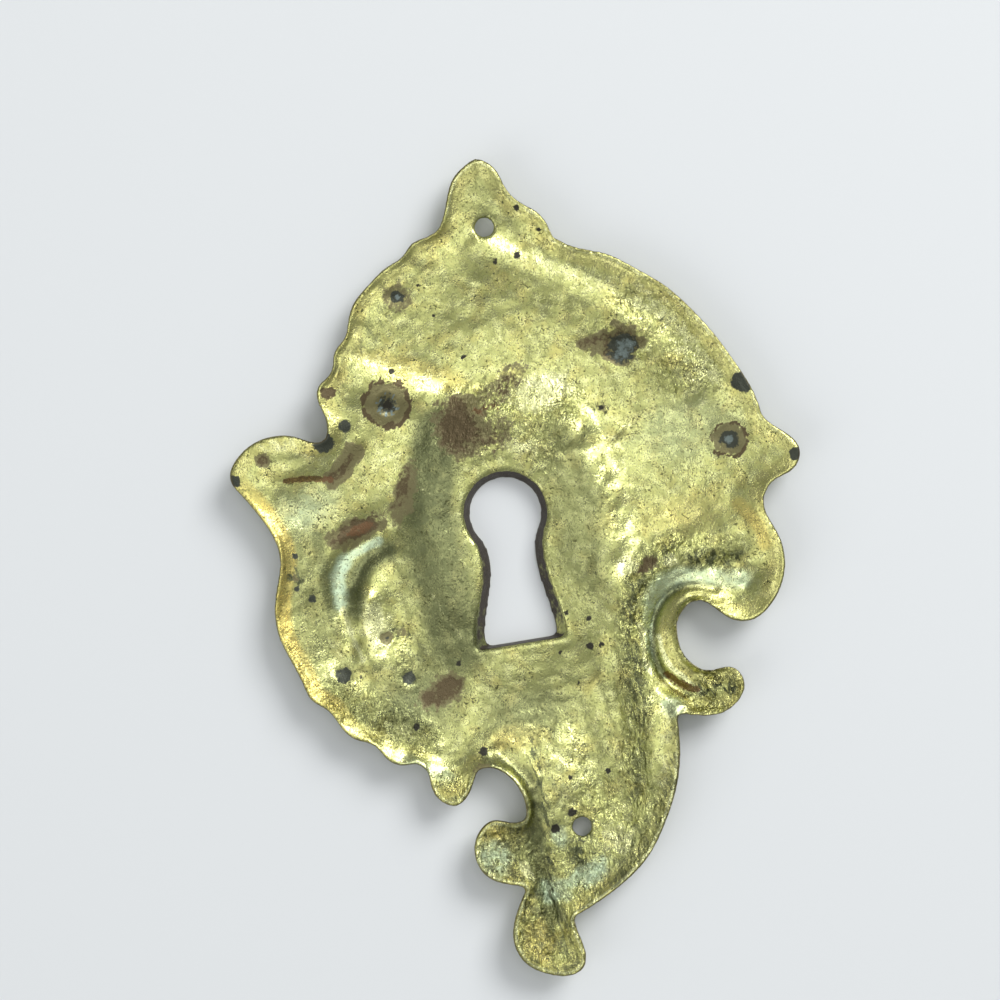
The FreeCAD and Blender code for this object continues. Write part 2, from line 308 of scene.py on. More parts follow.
# %% Tighten the bend
TIGHT_DROP = 0.75
TIGHT_RUN = 1.1
SOFT_DROP = 0.95
SOFT_RUN = 6.0
FRAME_DROP = 2.3
FRAME_RUN = 2.8
GENTLE_RUN = 3.6
SLOW_RUN = 7.0
SHALLOW = 0.7
MIDDLE_DROP = 0.4
CLEARANCE = 0.08
PLAY = 0.05

lowest = cad_low.z / MM + CLEARANCE


def move_up(heights):
    """Move each point by its height, but never below the frame's lowest level, with a little play."""
    points[:, 2] = np.maximum(points[:, 2] + heights, lowest + PLAY * np.tanh(heights))
    plate.data.vertices.foreach_set("co", points.ravel())
    plate.data.update()


def fall(drop, run):
    """How far the floor has fallen below the rim at each point."""
    return drop * (1.0 - np.exp(-rim_distance / run))


left_side = ramp(-across, 10.0, 18.0) * ramp(-up_plate, -9.0, -4.0)
upper_left = ramp(up_plate - across, 15.0, 33.0) * ramp(up_plate, 7.0, 14.0)
upper_right = ramp(up_plate + 0.8 * across, 24.0, 32.0) * (1.0 - upper_left)
elsewhere = 1.0 - left_side - upper_left - upper_right
tight_fall = fall(TIGHT_DROP, TIGHT_RUN) + fall(SOFT_DROP, SOFT_RUN)
bend = fall(FRAME_DROP, FRAME_RUN) - left_side * tight_fall - upper_left * SHALLOW * tight_fall
bend -= upper_right * fall(FRAME_DROP, SLOW_RUN) + elsewhere * fall(FRAME_DROP, GENTLE_RUN)
bend -= MIDDLE_DROP * ramp(rim_distance, 4.0, 12.0) * (1.0 - 0.9 * upper_left)
bend *= in_field
move_up(bend)
print("the bend moves the sheet by", round(bend.min(), 2), "to", round(bend.max(), 2), "mm")

# %% [markdown]
# ## Crisper folds
#
# The frame has each fold of the stamping in its place, but softly. On the real sheet the scrolls are
# crisp. A carver would cut them in: here each fold is a mound along a line, raised towards the back
# when its height is positive.

# %% Fold the sheet
# Each fold: its name, its height, its half width and its line.
FOLDS = [
    ("shoulder inside the upper right rim", 0.60, 3.0,
     [(2.0, 26.8), (6.0, 24.0), (10.5, 21.2), (14.5, 18.2), (18.0, 14.4), (20.5, 10.0)]),
    ("level strip along the upper right rim", 0.15, 2.4,
     [(8.0, 28.4), (12.0, 25.0), (17.0, 22.0), (21.5, 17.5), (25.0, 12.0), (26.5, 7.5)]),
    ("shoulder above the keyhole", 0.50, 2.8,
     [(-13.0, 16.0), (-8.5, 13.9), (-4.0, 12.0), (0.5, 10.4), (5.5, 9.6), (8.6, 7.6)]),
    ("shoulder right of the keyhole", 0.45, 2.6,
     [(7.5, 8.6), (9.6, 5.0), (10.3, 0.0), (10.3, -4.5), (9.4, -8.0)]),
    ("left wall of the crescent", 0.30, 1.3,
     [(-14.0, 0.6), (-17.2, -0.2), (-19.4, -2.6), (-19.8, -6.0), (-19.2, -9.5), (-18.0, -13.0)]),
    ("floor of the crescent", 0.30, 2.0,
     [(-13.5, -1.2), (-16.0, -2.2), (-17.5, -4.4), (-17.7, -8.0), (-16.8, -11.5)]),
    ("line inside the crescent", -0.15, 0.8,
     [(-13.0, -1.8), (-15.4, -2.8), (-16.6, -4.8), (-17.2, -7.5), (-17.2, -10.5)]),
    ("crest beside the crescent", 0.65, 2.0, [(-16.2, -6.5), (-16.5, -9.5), (-16.2, -12.5)]),
    ("hollow beside that crest", -0.50, 2.8, [(-12.4, -4.5), (-12.6, -9.0), (-12.2, -13.5)]),
    ("step below the left lobe", 0.12, 1.2, [(-22.5, 7.9), (-19.0, 7.7), (-16.2, 7.4), (-14.0, 9.6)]),
    ("floor round the right notch", 0.60, 1.8,
     [(22.0, -10.6), (17.8, -10.6), (15.0, -12.0), (13.7, -14.6), (13.9, -17.6), (15.4, -19.9),
      (18.5, -21.2)]),
    ("hollow left of the notch's ridge", -0.35, 2.4,
     [(16.5, -5.2), (11.5, -6.8), (8.0, -10.4), (7.6, -15.0), (7.6, -20.0), (8.0, -25.0)]),
    ("lip round the right notch", 0.35, 1.3,
     [(23.5, -10.0), (18.2, -9.2), (14.0, -10.0), (12.2, -13.2), (11.7, -17.0), (12.3, -20.4),
      (14.6, -22.4)]),
    ("line inside that lip", -0.26, 0.7,
     [(20.0, -11.2), (17.0, -10.4), (14.8, -11.1), (13.3, -13.2), (12.8, -15.4), (12.8, -17.6),
      (13.6, -19.5), (15.4, -21.2)]),
    ("level strip in the right lobe", 0.30, 2.0,
     [(25.0, -2.5), (26.0, -5.0), (26.2, -8.0), (25.0, -11.5)]),
    ("crease along the lower left rim", -0.22, 1.0,
     [(-19.0, -18.2), (-16.0, -20.6), (-13.0, -22.6), (-10.5, -24.2), (-8.0, -24.0)]),
    ("fold down the left of the foot", -0.40, 1.5,
     [(-4.5, -24.2), (-2.4, -27.0), (-1.8, -31.0), (-2.2, -36.0), (-2.0, -41.0)]),
    ("swelling of the foot", 0.45, 3.6, [(1.5, -25.0), (2.0, -30.0), (2.5, -35.0)]),
    ("fold down the right of the foot", -0.20, 1.3,
     [(9.9, -21.0), (9.6, -26.0), (9.0, -30.0), (7.6, -33.0)]),
]

folds = np.zeros(len(points))
for _, height, half_width, line in FOLDS:
    folds += height * mound(line, half_width)
move_up(folds * in_field)
print("folds move the sheet by", round(folds.min(), 2), "to", round(folds.max(), 2), "mm")

# %% [markdown]
# ## Dents, scratches and flutes
#
# The back of a stamping keeps every mark of the tool and of use. The largest are a crater in the upper
# left and a round dimple in the upper right, and short flutes run in from the scalloped edge. They
# could be scattered, but they are few and each has its own place, so they are listed.

# %% List the dents, scratches and flutes
# Each dent: x, y, radius and depth.
DENTS = [
    (-7.4, 23.7, 0.9, 0.12), (14.7, 15.0, 1.7, 0.25), (24.0, 3.8, 1.3, 0.18), (-10.3, 13.0, 0.9, 0.30),
    (-14.2, -10.8, 0.6, 0.10), (-12.6, -15.2, 0.75, 0.10), (-19.2, -13.9, 0.9, 0.12),
    (-23.8, 9.3, 0.8, 0.08), (-17.3, 10.0, 0.9, 0.08), (11.5, 9.2, 0.6, 0.06), (-0.2, -33.0, 0.45, 0.08),
]
# Each scratch: its height, its half width and its line.
SCRATCHES = [
    (-0.08, 0.35, [(12.8, 5.5), (13.9, 6.5), (15.0, 7.9)]),
    (0.14, 0.5, [(3.9, -31.3), (4.9, -31.6), (5.9, -31.4)]),
    (-0.16, 0.4, [(3.8, -32.4), (4.8, -32.3), (5.8, -31.9)]),
    (-0.06, 0.3, [(-9.5, -7.0), (-8.4, -9.2), (-7.0, -12.0)]),
    (0.05, 0.3, [(-9.1, -7.0), (-8.0, -9.2), (-6.6, -12.0)]),
    (0.06, 0.3, [(-5.5, -14.0), (-4.5, -16.0)]),
]
# Each flute: its line, from the edge inwards.
FLUTES = [
    [(-2.0, 30.0), (-1.2, 28.2)], [(-6.1, 27.8), (-5.0, 25.8)], [(-10.0, 25.5), (-8.6, 24.0)],
    [(-12.9, 21.7), (-11.2, 20.8)], [(-14.7, 19.1), (-12.8, 18.4)], [(-16.9, 15.9), (-15.2, 15.2)],
    [(-22.7, -15.9), (-20.8, -14.6)], [(-20.1, -19.3), (-18.4, -17.4)],
    [(-17.2, -21.4), (-15.8, -19.4)], [(-14.5, -24.0), (-13.4, -21.8)],
    [(5.4, 33.0), (4.4, 31.4)], [(9.3, 27.3), (8.0, 25.6)],
]
FLUTE_DEPTH = 0.14
FLUTE_HALF_WIDTH = 1.1
print("dents:", len(DENTS), "scratches:", len(SCRATCHES), "flutes:", len(FLUTES))

# %% [markdown]
# ## Crinkles
#
# Between these marks the metal is nowhere quite flat. It has long soft waves, and near the foot and
# along the lower left edge it is crinkled. Wrinkles fan out from the top of the keyhole, where the
# sheet was drawn tight. Noise gives the waves and creases, and a share for each point says how strong
# they are there.

# %% Dent and crinkle the back
# Each crinkled place: its share at every point, and its strength.
CRINKLED = [
    (spot(-3.0, -43.5, 4.0, 6.0), 1.0),
    (spot(-6.0, -34.5, 3.5, 3.5), 0.9),
    (spot(0.0, -37.5, 4.5, 4.0), 0.9),
    (spot(7.0, -33.0, 7.0, 6.0), 0.7),
    (spot(3.0, -27.0, 9.0, 8.0, soft=0.6), 0.4),
    (stroke([(16.5, -6.5), (12.5, -8.5), (10.6, -13.0), (10.5, -18.0), (9.8, -24.0), (8.6, -31.0)],
            1.7), 0.9),
    (stroke([(-20.0, -16.0), (-15.5, -19.2), (-12.0, -21.6)], 2.0, soft=0.8), 0.9),
    (spot(20.5, 11.5, 4.5, 3.0, soft=0.7), 0.8),
    (spot(18.6, -21.5, 3.0, 2.5), 0.9),
    (spot(20.0, -7.2, 4.0, 2.0), 0.7),
    (spot(6.0, 10.5, 4.5, 3.5), 0.6),
    (spot(13.0, 3.0, 4.0, 12.0, soft=0.7), 0.28),
    (spot(18.0, 17.0, 6.0, 5.0), 0.6),
    (spot(8.0, 20.0, 6.0, 6.0, soft=0.7), 0.22),
    (spot(-3.0, 19.0, 9.0, 7.0), 0.15),
    (spot(18.0, 2.0, 6.0, 7.0, soft=0.7), 0.15),
    (spot(-10.0, -27.0, 2.5, 2.0), 0.7),
]
crinkled = np.max([share * strength for share, strength in CRINKLED], axis=0)
wrinkled = np.maximum(spot(0.5, 10.0, 7.0, 4.0, turn=15.0), spot(5.0, 8.0, 3.0, 5.0)) * (up_plate > 2.0)

strokes_up = wander(0.45, 4.0, stretch=2.6, turn=80.0)
strokes_fan = wander(0.42, 5.0, stretch=4.0, turn=52.0)
creases = np.abs(wander(1.3, 6.0, stretch=1.6, turn=60.0))
creases = creases.mean() - creases
marks = 0.12 * coarse + (0.045 + 0.16 * crinkled) * medium + (0.008 + 0.05 * crinkled) * fine
marks += 0.09 * crinkled * strokes_up + 0.14 * wrinkled * strokes_fan + 0.26 * crinkled * creases
for x, y, radius, depth in DENTS:
    marks -= depth * spot(x, y, radius, soft=0.6, ragged=0.1)
    marks += 0.3 * depth * ring(x, y, 1.35 * radius, 0.35 * radius)
for height, half_width, line in SCRATCHES:
    marks += height * stroke(line, half_width, soft=0.7)
for line in FLUTES:
    marks -= FLUTE_DEPTH * mound(line, FLUTE_HALF_WIDTH)
move_up(marks * on_back * ramp(edge_distance, 0.1, 0.5))
print("marks move the back by", round(marks.min(), 2), "to", round(marks.max(), 2), "mm")

# %% [markdown]
# ## Painting stains, shade and highlights onto the points
#
# Each stain, painted shade and painted highlight sits in its own place, so it can't come from a pattern
# alone. The sheet has small even faces, so its points can carry paint. Each finish gets one attribute
# from 0 to 1, and the material breaks it up with fine noise later: a value of 1 covers fully, and a half
# only in flecks.

# %% Start the paints
PAINTS = ("brown", "skin", "grime_and_shade", "rust_and_shade", "black", "slate", "steel", "film_and_glint", "gold", "pale", "dim",
          "rough")
paint = {name: np.zeros(len(points)) for name in PAINTS}


def lay(name, *marks):
    """Lay marks, each a strength and a share, onto one of the paints: the strongest one shows."""
    for strength, share in marks:
        paint[name] = np.maximum(paint[name], strength * share)


lay("rough", (1.0, crinkled), (0.75, wrinkled))
print("share of the sheet that is crinkled:", round(float((paint["rough"] > 0.3).mean()), 2))

# %% [markdown]
# ### The tarnish and painted shade
#
# From afar the brass is evenly olive, but each field has its own tone. It is dull in the hollows, and the
# same dull paint is painted shade on slopes and in grooves that face away from the window. A few walls
# have a grey-green film, and the film's paint also puts a painted cyan glint on the crescent's lit wall.
# Each tone could be a texture of its own, but painted shares are simpler, because they all draw on the
# one material below.

# %% Paint the dull hollows, the painted shade, the film and the glint
# Dull tarnish and painted shade round the keyhole.
lay("dim",
    (1.0, stroke([(-5.6, 9.5), (-7.0, 5.0), (-7.6, 0.5)], 2.5, soft=0.35, ragged=0.2)),
    (0.95, stroke([(-7.9, 1.0), (-7.9, -4.0), (-7.0, -12.5)], 3.5, soft=0.5, ragged=0.2)),
    (0.9, spot(-0.8, -20.6, 4.6, 2.8, soft=0.8)),
    (0.35, spot(2.0, -17.0, 8.0, 3.0, soft=0.8)),
    (0.65, spot(7.4, -1.5, 3.2, 11.0, soft=0.6)))
# Dull tarnish and painted shade on the left, where the sheet bends, and in the crescent.
lay("dim",
    (0.55, spot(-21.0, -12.0, 3.0, 4.5, turn=20.0, soft=0.6)),
    (0.55, spot(-21.0, -4.5, 2.4, 10.0, turn=-2.0, soft=0.6)),
    (1.0, spot(-11.6, -17.4, 4.2, 3.8, soft=0.8)),
    (0.8, stroke([(-19.6, 0.8), (-19.6, -2.4), (-19.4, -6.0), (-19.0, -9.0)], 0.8, soft=0.7)),
    (0.35, spot(-19.5, 5.2, 3.0, 1.4, soft=0.7)),
    (1.0, stroke([(-12.6, -1.9), (-15.0, -2.6), (-16.5, -4.4), (-16.9, -7.5)], 1.0, soft=0.6)))
# Dull at the top, painted shade in the groove round the notch, and dull tarnish and painted shade at the
# foot.
lay("dim",
    (0.35, spot(3.0, 33.0, 3.0, 4.0, soft=0.6)),
    (1.0, stroke([(16.6, -10.3), (14.7, -11.2), (13.3, -13.2), (12.8, -15.4), (12.8, -17.6),
                  (13.5, -19.3)], 0.42)),
    (0.5, spot(16.5, -14.0, 1.4, 4.0, soft=0.7)),
    (0.4, stroke([(14.2, -23.6), (13.2, -28.0), (11.0, -33.0), (6.0, -38.0)], 1.2, soft=0.6,
                 ragged=0.5)),
    (0.85, stroke([(-5.5, -24.8), (-2.5, -27.0), (-1.8, -30.0), (-2.5, -33.5), (-2.4, -37.0),
                   (-1.9, -41.5)], 1.05, soft=0.4, ragged=0.4)),
    (0.5, spot(-4.5, -34.0, 1.2, 3.0, soft=0.6)))
# A painted cyan glint on the crescent's lit wall, film round the notch and at the foot, and faintly in
# three more places.
lay("film_and_glint",
    (0.9, stroke([(-13.4, -0.7), (-15.6, -1.4), (-17.4, -2.4)], 0.45, ragged=0.4)),
    (1.0, stroke([(-17.2, -2.2), (-18.2, -3.6), (-18.3, -6.4)], 0.75, ragged=0.4)),
    (0.6, stroke([(23.0, -10.6), (20.0, -10.0), (17.0, -9.2), (14.9, -9.5), (13.4, -11.2)], 0.95,
                 ragged=0.2)),
    (0.55, stroke([(14.0, -10.4), (12.8, -12.6), (12.3, -15.0), (12.1, -18.0)], 0.5, ragged=0.2)),
    (0.4, spot(-20.0, 3.6, 2.8, 1.8, ragged=0.4, soft=0.8)),
    (0.7, spot(-6.8, -34.8, 1.6, 1.8, ragged=0.6)),
    (0.8, spot(2.4, -38.0, 2.4, 1.1, ragged=0.7, turn=15.0)),
    (0.7, spot(0.1, -34.0, 0.8, 1.1, ragged=0.6)),
    (0.7, spot(-1.2, -39.2, 1.6, 1.2, ragged=0.7)),
    (0.5, spot(13.8, -22.4, 1.2, 1.0, ragged=0.4)),
    (0.2, spot(20.0, 5.5, 5.0, 3.0, ragged=0.6, soft=0.6)),
    (0.4, spot(-12.5, -24.5, 3.0, 0.9, ragged=0.4, turn=-30.0)))
print("tarnished share:", round(float(paint["dim"].mean()), 2))

# %% [markdown]
# ### Golden places and painted highlights
#
# Most pale places are painted highlights, on crests, slopes and edges that face the window, and a few
# are pale scratches. Along the left rim the brass is golden, with a thin brown line in it, and the gold
# there is partly a painted highlight on the strip that faces the window. The rim's line follows the
# measured distance from the edge, and the other places are listed.

# %% Paint the golden places and the painted highlights
RIM_LINE = 0.9
rim_line = 1.0 - ramp(np.abs(rim_distance - RIM_LINE), 0.5, 1.0)
gold_rim = 0.2 + 0.8 * left_side * ramp(up_plate, -21.0, -14.0)
# The golden line along the left rim is partly a painted highlight, on the strip that faces the window.
lay("gold",
    (1.0, rim_line * gold_rim),
    (0.55, spot(-3.6, -44.0, 1.7, 2.3, ragged=0.8)),
    (0.6, spot(-6.5, -32.6, 1.4, 1.0, ragged=0.7)),
    (0.3, spot(18.0, -3.0, 4.0, 2.0, ragged=0.6, soft=0.6)),
    (0.7, stroke([(23.8, -3.0), (25.4, -5.0), (25.9, -7.5)], 0.7, ragged=0.3)),
    (0.5, spot(-2.5, -23.0, 3.0, 1.2, ragged=0.6)),
    (0.45, spot(-7.0, 16.0, 6.0, 1.2, turn=-25.0, ragged=0.4)))
lay("skin", (0.22, rim_line * left_side * (0.6 + medium)))
# Painted highlights on the crests round the notch and beside the crescent, and pale lines in two
# scratches.
lay("pale",
    (1.0, stroke([(13.5, -15.0), (13.7, -17.0), (14.3, -18.6), (15.6, -19.8), (16.9, -21.6)], 0.3,
                 ragged=0.5)),
    (1.0, stroke([(11.9, -13.6), (11.8, -17.6), (12.6, -19.6), (13.4, -20.3)], 0.34, ragged=0.4)),
    (0.8, stroke([(-18.1, -7.0), (-17.8, -9.6), (-17.0, -12.6)], 0.35, soft=0.6, ragged=0.6)),
    (0.6, stroke([(-20.0, -10.6), (-18.8, -12.2), (-17.4, -13.0)], 0.16, ragged=0.5)),
    (0.6, stroke([(-8.3, 4.0), (-6.8, 2.8), (-5.6, 0.6)], 0.16, ragged=0.5)),
    (0.6, stroke([(-8.9, -7.0), (-7.9, -9.2), (-6.6, -12.0)], 0.2, ragged=0.5)))
# Painted highlights on the left and the lower left.
lay("pale",
    (1.0, spot(-15.7, -9.0, 0.7, 0.9, soft=0.8)),
    (0.9, spot(-15.0, -9.5, 1.6, 3.6, soft=0.8, ragged=0.3)),
    (0.6, spot(-22.0, 10.6, 3.0, 0.9, soft=0.6, ragged=0.4)),
    (0.55, spot(-18.6, 8.6, 3.2, 0.9, soft=0.8, ragged=0.5)),
    (0.5, spot(-11.5, 7.5, 2.0, 2.0, soft=0.7, ragged=0.5)),
    (0.6, spot(-14.4, -20.4, 2.2, 1.0, turn=-35.0, soft=0.8, ragged=0.9)))
# Painted highlights above the keyhole and to the right of it.
lay("pale",
    (0.5, stroke([(-12.0, 18.2), (-8.0, 16.4), (-4.5, 14.6)], 1.0, soft=0.8, ragged=0.5)),
    (0.35, spot(1.0, 23.6, 4.0, 2.4, soft=0.8, ragged=0.5)),
    (0.6, stroke([(4.5, 26.9), (8.0, 24.6), (12.0, 22.6), (15.0, 20.8)], 1.0, soft=0.8, ragged=0.5)),
    (0.6, stroke([(17.0, 20.0), (21.0, 15.5), (23.0, 10.5)], 1.8, soft=0.8, ragged=0.6)),
    (0.55, spot(21.6, 10.6, 1.8, 3.2, soft=0.8, ragged=0.6)),
    (1.0, spot(5.5, 11.8, 3.4, 2.2, turn=10.0, soft=0.6, ragged=0.6)),
    (0.7, spot(2.8, 6.4, 2.8, 1.0, turn=-20.0, soft=0.6, ragged=0.5)),
    (0.5, stroke([(12.0, 6.0), (12.2, 0.0), (12.0, -7.5)], 1.2, soft=0.8, ragged=0.5)),
    (0.9, spot(11.6, -7.4, 1.2, soft=0.7, ragged=0.5)),
    (0.9, spot(16.0, -7.7, 0.9, soft=0.7, ragged=0.5)))
# Painted highlights at the foot.
lay("pale",
    (0.48, spot(2.6, -27.0, 3.3, 4.6, ragged=0.7, soft=0.7)),
    (0.7, spot(6.0, -34.6, 1.8, 2.2, ragged=0.8, soft=0.5)),
    (0.9, spot(-3.8, -36.8, 0.6, 1.4, ragged=0.6, turn=20.0)),
    (0.5, spot(-6.8, -34.2, 1.5, 2.2, ragged=0.6)),
    (0.5, stroke([(13.0, -22.5), (12.5, -26.5), (11.0, -31.0)], 0.8, soft=0.8, ragged=0.5)),
    (0.5, spot(-3.6, -44.2, 1.5, 2.0, soft=0.8, ragged=0.9)))
print("golden share:", round(float(paint["gold"].mean()), 2))
print("pale share:", round(float(paint["pale"].mean()), 2))

# %% [markdown]
# ### Brown and rust-red skins
#
# A few places are brown: a large brown patch above the keyhole and rings round the crater and the
# dimples. A rust-red line below the left lobe, with a brown end, is painted shade on the step there.
# Each is laid as a smooth olive-brown skin with a darker brown or red heart, because the marks have
# these two depths.

# %% Paint the brown and rust-red skins
# The large patch above the keyhole, with an arm to the upper right.
lay("skin",
    (1.15, spot(-2.9, 9.6, 2.9, 3.4, turn=12.0, ragged=0.5, soft=0.4)),
    (0.62, stroke([(-2.0, 10.8), (0.6, 12.2), (3.4, 14.1)], 1.5, ragged=0.5, soft=0.6)),
    (0.68, spot(0.2, 8.4, 2.6, 2.2, turn=10.0, ragged=0.6, soft=0.6)))
lay("brown",
    (0.85, spot(-3.4, 9.7, 2.1, 3.1, turn=12.0, ragged=0.5, soft=0.7)),
    (0.5, stroke([(-1.6, 10.2), (1.0, 11.8), (3.2, 13.8)], 1.0, ragged=0.7, soft=0.8)),
    (0.5, spot(-0.6, 8.2, 2.2, 1.7, ragged=0.7, soft=0.7)))
lay("rust_and_shade", (0.5, spot(-0.6, 10.9, 1.6, 0.9, ragged=0.8)))
# The stain above the crescent and the one between it and the keyhole.
lay("skin",
    (1.0, spot(-15.6, 0.6, 3.2, 1.4, ragged=0.5, turn=14.0)),
    (0.9, spot(-9.9, 3.8, 1.3, 3.4, ragged=0.6, turn=-25.0, soft=0.6)))
lay("brown",
    (0.9, spot(-15.5, 0.8, 2.7, 1.0, ragged=0.6, turn=18.0, soft=0.5)),
    (0.6, spot(-10.0, 4.4, 0.8, 2.4, ragged=0.7, turn=-25.0, soft=0.6)))
lay("rust_and_shade", (0.65, spot(-15.3, 0.8, 2.0, 0.7, ragged=0.7, turn=18.0, soft=0.5)))
# The stains at the lower left.
lay("skin",
    (1.0, spot(-9.4, -17.3, 2.8, 1.5, ragged=0.9, turn=20.0, soft=0.5)),
    (0.8, spot(-6.6, -26.0, 1.0, 1.4, ragged=0.5, soft=0.5)))
lay("brown", (0.8, spot(-9.4, -17.3, 2.4, 1.2, ragged=1.0, turn=20.0, soft=0.5)))
# Painted shade on the step below the left lobe: a red line with a brown end.
lay("rust_and_shade", (0.85, stroke([(-21.8, 6.9), (-19.5, 6.8), (-17.2, 6.3)], 0.32, ragged=0.4)))
lay("skin", (1.0, stroke([(-17.2, 6.4), (-16.0, 6.9), (-14.5, 8.8)], 1.0, ragged=0.5)))
lay("brown", (0.6, stroke([(-17.2, 6.4), (-16.0, 6.9), (-14.8, 8.2)], 0.6, ragged=0.6)))
# Round the crater.
lay("skin", (1.0, spot(-10.3, 13.0, 2.35, 2.35, ragged=0.35, soft=0.15)))
lay("brown", (0.9, ring(-10.3, 13.1, 2.3, 0.22, ragged=0.8)))
# Round the dimple in the upper right, with a tail to the left.
lay("skin",
    (1.0, spot(14.4, 15.2, 2.5, 2.2, ragged=0.7, soft=0.2)),
    (1.0, stroke([(13.5, 16.2), (12.0, 16.2), (10.7, 15.9)], 0.6, ragged=0.7)))
lay("brown",
    (0.6, spot(14.4, 15.2, 2.2, 1.9, ragged=0.8, soft=0.4)),
    (0.6, stroke([(13.5, 16.2), (12.0, 16.2), (10.7, 15.9)], 0.45, ragged=0.7)))
# Round the smaller dimples.
lay("skin",
    (0.9, spot(24.0, 3.8, 1.9, 1.8, ragged=0.4, soft=0.2)),
    (0.75, spot(-7.4, 23.7, 1.6, 1.5, ragged=0.4, soft=0.3)))
lay("brown", (0.8, ring(24.0, 3.8, 1.8, 0.16, ragged=0.6)))
# A small spot at the upper left edge.
lay("brown", (0.8, spot(-16.1, 15.1, 0.9, 0.7, ragged=0.6)))
# Above the notch and in its floor.
lay("skin", (0.8, spot(13.6, -7.6, 1.5, 0.8, turn=40.0, ragged=1.0, soft=0.8)))
lay("brown", (0.75, spot(13.6, -7.6, 1.3, 0.6, turn=40.0, ragged=1.0, soft=0.8)))
lay("rust_and_shade", (0.75, stroke([(13.8, -19.1), (15.0, -20.4), (16.5, -21.1)], 0.42, ragged=0.6)))
print("brown share:", round(float(paint["brown"].mean()), 3))
print("rust share:", round(float(paint["rust_and_shade"].mean()), 3))

# %% [markdown]
# ### Grime and painted shade in the creases
#
# Dark ticks lie along the folds, round the foot and just inside the rim: partly dirt, where a cloth
# can't reach, and partly painted shade on flanks and in creases that face away from the window. It is
# laid in broad strokes, and the material breaks them into small ticks. The rim's very edge gets a
# painted highlight at the foot and at the upper right, where it catches the light.

# %% Paint the grime and shade, and the highlight on the edge
# Round the notch, down its ridge and in the lobe below it: dirt, with painted shade on the ridge's shaded
# flank.
lay("grime_and_shade",
    (0.75, stroke([(16.0, -6.6), (13.8, -7.6), (12.2, -9.4)], 0.9, soft=0.8, ragged=0.8)),
    (0.85, stroke([(12.4, -9.0), (11.2, -11.5), (10.6, -14.5), (10.4, -18.0), (10.2, -23.0)], 1.0,
                  soft=0.8, ragged=0.8)),
    (0.7, stroke([(10.2, -22.0), (9.5, -26.5), (8.3, -31.0)], 0.8, soft=0.8, ragged=0.8)),
    (0.5, stroke([(8.6, -31.0), (7.4, -34.0), (5.6, -36.8)], 1.0, soft=0.8, ragged=0.8)),
    (0.9, stroke([(22.8, -8.6), (20.8, -8.2), (18.6, -7.8)], 1.1, ragged=0.8)),
    (1.0, spot(18.7, -21.5, 2.4, 1.5, soft=0.6, ragged=0.8)))
# At the foot: dirt, with painted shade in its folds.
lay("grime_and_shade",
    (0.9, stroke([(-1.3, -23.0), (-1.0, -27.0), (-0.8, -31.0), (-1.5, -36.0), (-1.4, -41.0)], 0.55,
                 soft=0.8, ragged=0.8)),
    (0.5, stroke([(-2.6, -31.5), (-3.6, -34.0), (-3.0, -37.0), (-2.2, -41.0)], 1.2, soft=0.7,
                 ragged=0.6)),
    (0.95, spot(2.2, -35.6, 1.7, 1.9, soft=0.6, ragged=0.8)),
    (0.6, spot(-2.4, -43.0, 3.4, 4.8, soft=0.7, ragged=0.8)),
    (0.5, spot(-4.8, -34.0, 2.6, 3.2, soft=0.7, ragged=0.8)),
    (0.5, stroke([(14.0, -24.0), (13.0, -28.5), (10.6, -33.5), (5.0, -39.0)], 1.0, ragged=0.6)),
    (0.24, spot(4.0, -31.0, 6.0, 8.0, soft=0.8, ragged=0.8)))
# On the left and near the upper rim.
lay("grime_and_shade",
    (0.6, spot(-14.8, -17.4, 2.0, 1.0, turn=-30.0, soft=0.8, ragged=0.9)),
    (0.3, spot(-15.0, -19.2, 3.8, 1.6, turn=-35.0, soft=0.8, ragged=0.8)),
    (0.5, spot(-12.3, -13.0, 2.2, 1.2, ragged=0.8)),
    (0.5, spot(-9.5, 22.0, 6.0, 1.0, turn=45.0, ragged=0.9)),
    (0.3, spot(20.5, 11.2, 3.0, 1.5, soft=0.8, ragged=0.8)))
# A dark line just inside the rim at the foot, and a painted highlight on the very edge at the foot and at
# the upper right.
DARK_LINE = 0.8
EDGE_HIGHLIGHT = 0.36
low_edge = ramp(-up_plate, 24.0, 27.0)
highlit_edge = np.maximum(low_edge, 0.8 * ramp(up_plate + across, 28.0, 31.0))
frayed_distance = rim_distance + 0.3 * ragged_noise
lay("grime_and_shade", (0.75, low_edge * (1.0 - ramp(np.abs(frayed_distance - DARK_LINE), 0.1, 0.4))))
lay("pale", (0.9, highlit_edge * (1.0 - ramp(np.abs(rim_distance - EDGE_HIGHLIGHT), 0.05, 0.25))))
print("grime share:", round(float(paint["grime_and_shade"].mean()), 3))

# %% [markdown]
# ### Pits and dark smooth spots
#
# Corrosion has eaten small round pits and left smooth slate-coloured spots. They could be scattered by
# a pattern, but they are few and each has its own place and size, so they are listed one by one.

# %% Paint the pits and the dark spots
# Each slate spot: x, y, radius and strength.
SLATE_SPOTS = [
    (14.7, 14.9, 1.6, 0.9), (24.0, 3.8, 1.05, 0.9), (-7.4, 23.7, 0.8, 0.8), (-10.2, 13.0, 1.0, 0.75),
    (26.2, 9.3, 1.15, 1.0), (-26.9, 7.7, 0.65, 1.0), (-17.3, 10.0, 1.1, 0.9),
    (-12.6, -15.2, 0.75, 0.95), (-19.2, -13.9, 0.8, 0.8), (-14.2, -10.8, 0.35, 0.7),
    (-21.1, -5.6, 0.5, 0.8), (-22.1, -0.9, 0.4, 0.7), (-22.5, -4.2, 0.35, 0.8),
    (-14.9, 11.6, 0.7, 0.8), (30.4, 1.3, 0.75, 1.0),
]
